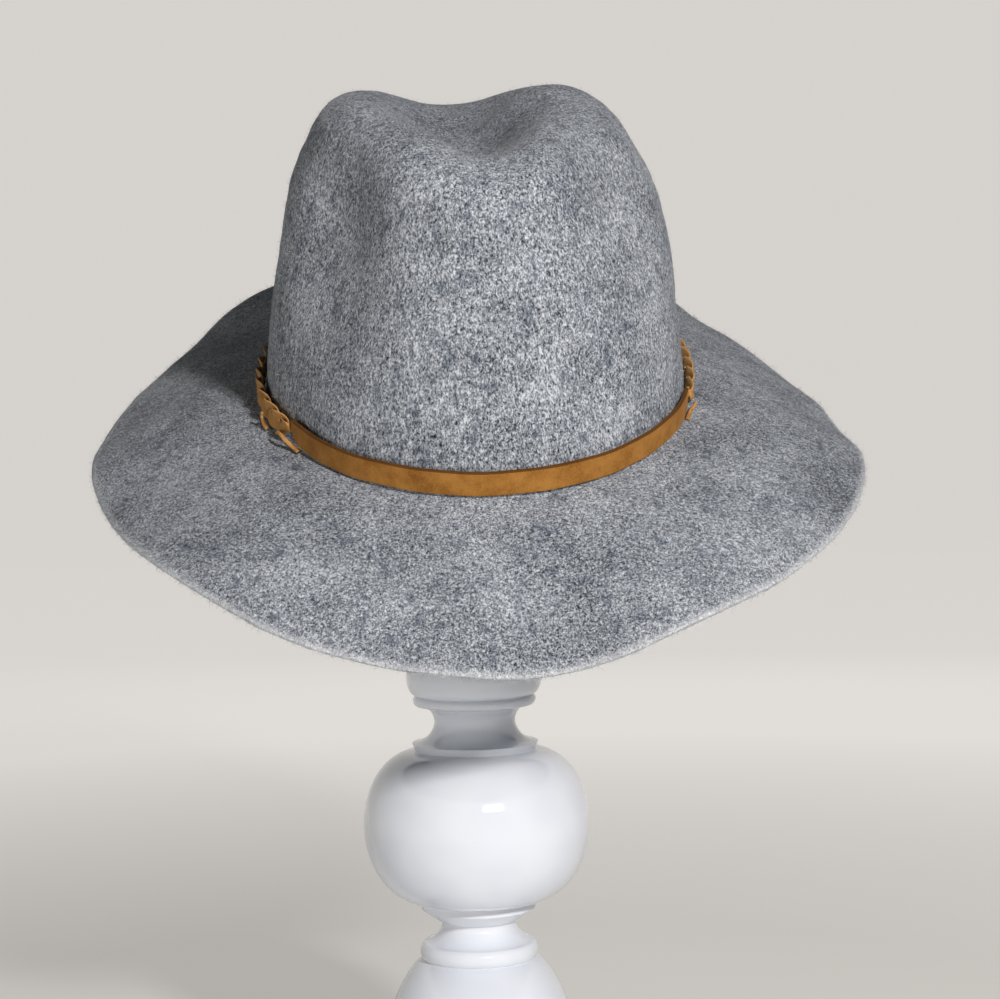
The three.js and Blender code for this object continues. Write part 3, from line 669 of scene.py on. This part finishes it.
def plaitedLace(index):
    first = band["to"] + band["endGap"] * degreesPerMm
    last = band["from"] + 360 - band["endGap"] * degreesPerMm
    length = (last - first) / degreesPerMm
    t = np.linspace(0, 1, band["laceSteps"])
    degrees = first + (last - first) * t
    phase = 2 * math.pi * (length / band["pitch"] * t + index / band["laces"])
    out = (band["gap"] + band["plaitDepth"] + band["laceThickness"] / 2
           + band["plaitDepth"] * np.sin(2 * phase))
    # by the strap the laces draw together towards its upper edge
    loose = smoothstep(np.minimum(t, 1 - t) * length, band["drawnFrom"], band["drawnTo"])
    swing = (band["plaitWidth"] - band["laceWidth"]) / 2
    lift = (band["strapWidth"] - band["plaitWidth"]) / 2
    above = lift + swing * np.sin(phase) * loose + band["drawnUp"] * (1 - loose)
    roll = -band["laceRoll"] * np.sin(phase)
    normals = unit(wayOut(np.radians(degrees)) + upWay * roll[:, None])
    width = band["laceWidth"] * (band["drawnWidth"] + (1 - band["drawnWidth"]) * loose)
    return laceMesh("lace", besideCrown(degrees, out, above), normals, width, band["laceThickness"])


# turn in degrees from the strap's end, way out from the crown and rise off the brim in mm
curls = {
    "lace_end_right_1": [(5, 3, 0), (3.2, 3, 0.4), (1.8, 3.4, 1.1), (0.9, 4.1, 2.2),
                         (0.2, 4.8, 3.6), (-1.2, 4.9, 4.7), (-2.8, 4.9, 4.5), (-4.4, 4.9, 3.4)],
    "lace_end_right_2": [(-12, 4.9, 0), (-13.4, 5.1, 0.9), (-14.6, 5.1, 2.5), (-15, 5.1, 4.3),
                         (-14.4, 4.9, 5.8), (-13.2, 4.9, 6.3)],
    "lace_end_left_1": [(-4.6, 3, 0), (-3.2, 3, 0.4), (-1.6, 3.1, 0.9), (-0.3, 3.4, 1.6),
                        (0.6, 4.2, 2.6), (1.2, 4.6, 3.8)],
}


def curledEnd(start, route):
    steps = np.linspace(0, len(route) - 1, band["curlSteps"])
    turn, out, rise = [np.interp(steps, range(len(route)), column) for column in zip(*route)]
    smooth = np.hanning(11)[1:-1] / np.hanning(11).sum()
    turn, out, rise = [np.convolve(np.pad(c, 4, mode="edge"), smooth, "valid") for c in (turn, out, rise)]
    angle = np.radians(start + turn)
    points, outWay = brimPoint(angle, out), wayOut(angle)
    normals = unit(np.cross(np.cross(upWay, outWay), brimPoint(angle, out + 1) - points))
    normals *= np.sign(normals[:, 2:])
    points = points + normals * (band["curlLift"] + rise[:, None])
    # flat on the brim at first, then turned to face out as the end stands up
    facing = unit(normals + outWay * rise[:, None] / band["curlUpright"])
    return laceMesh("curl", points, facing, band["curlWidth"], band["curlThickness"], taper=0.4, ridge=0.1)


addPiece("suede_strap", strapMesh(), strapSuede, ["band_strap"])
for index in range(band["laces"]):
    addPiece(f"plaited_lace_{index + 1}", plaitedLace(index), laceSuede,
             [f"plait_strand_{index + 1}"])
for name, route in curls.items():
    start = band["to"] if "left" in name else band["from"]
    addPiece(f"curled_{name}", curledEnd(start, route), laceSuede, [name])
print("band made")

# stand: a turned profile in mm; its sections' rise is a share of the height, their radius and bulge shares
# of the foot's radius below and of the ball's above
stand = {
    "height": 184, "ball": 46, "foot": 62, "bevel": 1.2, "bevelMiddle": (0.3, 0.35),
    "sides": 160, "steps": 30,
}
footSections = [
    {"rise": 0.054, "radius": 0.97, "bulge": 0.03}, {"rise": 0.141, "radius": 0.58, "bulge": -0.14},
]
stemSections = [
    {"rise": 0.152, "radius": 0.49, "bulge": 0.09}, {"rise": 0.035, "radius": 0.47, "bulge": 0.035},
    {"rise": 0.047, "radius": 0.345, "bulge": -0.06}, {"rise": 0.027, "radius": 0.5, "bulge": 0.01},
    {"rise": 0.016, "radius": 0.505, "bulge": 0}, {"rise": 0.33, "radius": 0.53, "bulge": 0.475},
    {"rise": 0.016, "radius": 0.55, "bulge": 0}, {"rise": 0.081, "radius": 0.5, "bulge": -0.17},
    {"rise": 0.022, "radius": 0.505, "bulge": 0.035}, {"rise": 0.079, "radius": 0.5, "bulge": 0.09},
]
onAxis = 0.05  # a turned profile starts and ends this close to its axis


def turned(profile, sides):
    a = np.linspace(0, 2 * math.pi, sides, endpoint=False)
    r, z = np.array(profile).T
    return np.stack([r[:, None] * np.cos(a), r[:, None] * np.sin(a),
                     np.broadcast_to(z[:, None], (len(z), sides))], -1)


def standProfile():
    foot, bevel, (inBy, upBy) = stand["foot"], stand["bevel"], stand["bevelMiddle"]
    profile = [(onAxis, 0.0), (foot - bevel, 0.0), (foot - inBy, upBy), (foot, bevel)]
    start, height, leastRise = foot, 0.0, 0.02
    for sections, size in ((footSections, foot), (stemSections, stand["ball"])):
        for section in sections:
            end = section["radius"] * size
            for i in range(1, stand["steps"] + 1):
                turn = math.pi * i / stand["steps"]
                share = (1 - math.cos(turn)) / 2
                z = height + share * section["rise"] * stand["height"]
                if z > profile[-1][1] + leastRise:
                    bulge = section["bulge"] * size * math.sin(turn)
                    profile.append((start + (end - start) * share + bulge, z))
            height += section["rise"] * stand["height"]
            start = end
    return profile + [(onAxis, height)]


def softened(profile, times=3):
    # glaze rounds every sharp turn of the clay: each inner corner is eased by its neighbours
    p = np.array(profile)
    for _ in range(times):
        p[2:-2] = 0.5 * p[2:-2] + 0.25 * (p[1:-3] + p[3:-1])
    return p


# hidden post: a plain rod that flares into a rounded cap, in mm
post = {
    "bottom": 184.35, "height": 207, "radius": 12, "bevel": 0.6, "flare": 10,
    "capRadius": 22, "capHeight": 24, "capRound": 0.5, "capSteps": 24, "sides": 64,
}


def postProfile():
    bottom, radius, bevel = post["bottom"], post["radius"], post["bevel"]
    capFoot = bottom + post["height"] - post["capHeight"]
    nearEnd = 0.02
    cap = [(post["capRadius"] * math.cos(t), capFoot + post["capHeight"] * math.sin(t))
           for t in np.linspace(nearEnd, math.pi / 2 - nearEnd, post["capSteps"])]
    return [(onAxis, bottom), (radius - bevel, bottom), (radius, bottom + bevel),
            (radius, capFoot - post["flare"]), (post["capRadius"] - post["capRound"], capFoot - bevel), *cap]


standMesh = meshFromGrid("stand", turned(softened(standProfile()), stand["sides"])[:, ::-1], caps=(0, -1))
addPiece("glazed_stand", standMesh, glaze, ["display_stand"])
postMesh = meshFromGrid("post", turned(postProfile(), post["sides"])[:, ::-1], caps=(0, -1))
addPiece("beech_post", postMesh, beech, ["hat_post"])
print("stand made")

# stage: a round floor, and a backdrop that bends up from it, in mm
stage = {"floor": 1200, "flat": 3600, "bend": 1800, "top": 4200, "bendSteps": 24, "sides": 96}
floorProfile = [(onAxis, 0), (stage["floor"] / 3, 0), (stage["floor"], 0)]
backdropProfile = [(stage["floor"], 0), ((stage["floor"] + stage["flat"]) / 2, 0), (stage["flat"], 0)]
backdropProfile += [(stage["flat"] + stage["bend"] * math.sin(t), stage["bend"] * (1 - math.cos(t)))
                    for t in np.linspace(0.05, math.pi / 2, stage["bendSteps"])]
backdropProfile += [(stage["flat"] + stage["bend"], stage["top"])]
for name, profile in (("floor", floorProfile), ("backdrop", backdropProfile)):
    sweep = meshFromGrid(name, turned(profile, stage["sides"]))
    sweep.materials.append(board)
    piece = bpy.data.objects.new(name, sweep)
    bpy.context.scene.collection.objects.link(piece)
    piece.visible_diffuse = name == "floor"  # only the floor throws light back on the hat

# lights: turn from the front and rise in degrees, distance and size in m; the sheen lamp is only seen
# mirrored in the glaze, and the others aren't
lightPlan = {
    "key": {"turn": 26, "rise": 21, "away": 1.5, "size": (0.14, 0.14), "watts": 21, "colour": "fffaf5"},
    "lowFill": {"turn": -35, "rise": -8, "away": 1.3, "size": (1.0, 0.1), "watts": 4.2, "colour": "f5f2ec"},
    "highFill": {"turn": 40, "rise": 45, "away": 1.5, "size": (0.5, 0.5), "watts": 1.4, "colour": "f2f5fa"},
    "backFill": {"turn": 172, "rise": 12, "away": 1.7, "size": (1.2, 0.4), "watts": 2.0, "colour": "eef1f6"},
    "sheen": {"turn": 19, "rise": 23, "away": 1.7, "size": (0.6, 0.26), "watts": 2.5, "colour": "f6f8ff"},
}
lightAim = Vector((0, 0, 0.27))
for name, plan in lightPlan.items():
    light = bpy.data.lights.new(name, "AREA")
    light.shape = "RECTANGLE"
    light.size, light.size_y = plan["size"]
    light.energy = plan["watts"]
    light.color = toLinear(plan["colour"])[:3]
    lamp = bpy.data.objects.new(name, light)
    bpy.context.scene.collection.objects.link(lamp)
    turn, rise = math.radians(plan["turn"]), math.radians(plan["rise"])
    way = Vector((math.sin(turn) * math.cos(rise), -math.cos(turn) * math.cos(rise), math.sin(rise)))
    lamp.location = lightAim + way * plan["away"]
    lamp.rotation_euler = way.to_track_quat("Z", "Y").to_euler()
    lamp.visible_glossy = name == "sheen"
    lamp.visible_diffuse = name != "sheen"

room = {"colour": "e9edf3", "strength": 0.008}
world = bpy.data.worlds.new("paleRoom")
bpy.context.scene.world = world
world.use_nodes = True
world.node_tree.nodes["Background"].inputs["Color"].default_value = toLinear(room["colour"])
world.node_tree.nodes["Background"].inputs["Strength"].default_value = room["strength"]
bpy.context.scene.view_settings.view_transform = "Standard"

# camera: lens and sensor in mm, place and clip in m, pitch up from straight down and roll in degrees
view = {
    "lens": 79.2, "sensor": 36, "place": (0.012, -0.88, 0.275), "pitch": 88.2, "roll": -1.2,
    "clip": (0.05, 30),
}
camera = bpy.data.objects.new("camera", bpy.data.cameras.new("camera"))
bpy.context.scene.collection.objects.link(camera)
camera.data.lens, camera.data.sensor_width = view["lens"], view["sensor"]
camera.data.clip_start, camera.data.clip_end = view["clip"]
pitch = Matrix.Rotation(math.radians(view["pitch"]), 4, "X")
roll = Matrix.Rotation(math.radians(view["roll"]), 4, "Z")
camera.matrix_world = Matrix.Translation(view["place"]) @ pitch @ roll
bpy.context.scene.camera = camera
print("stage, lights and camera made")
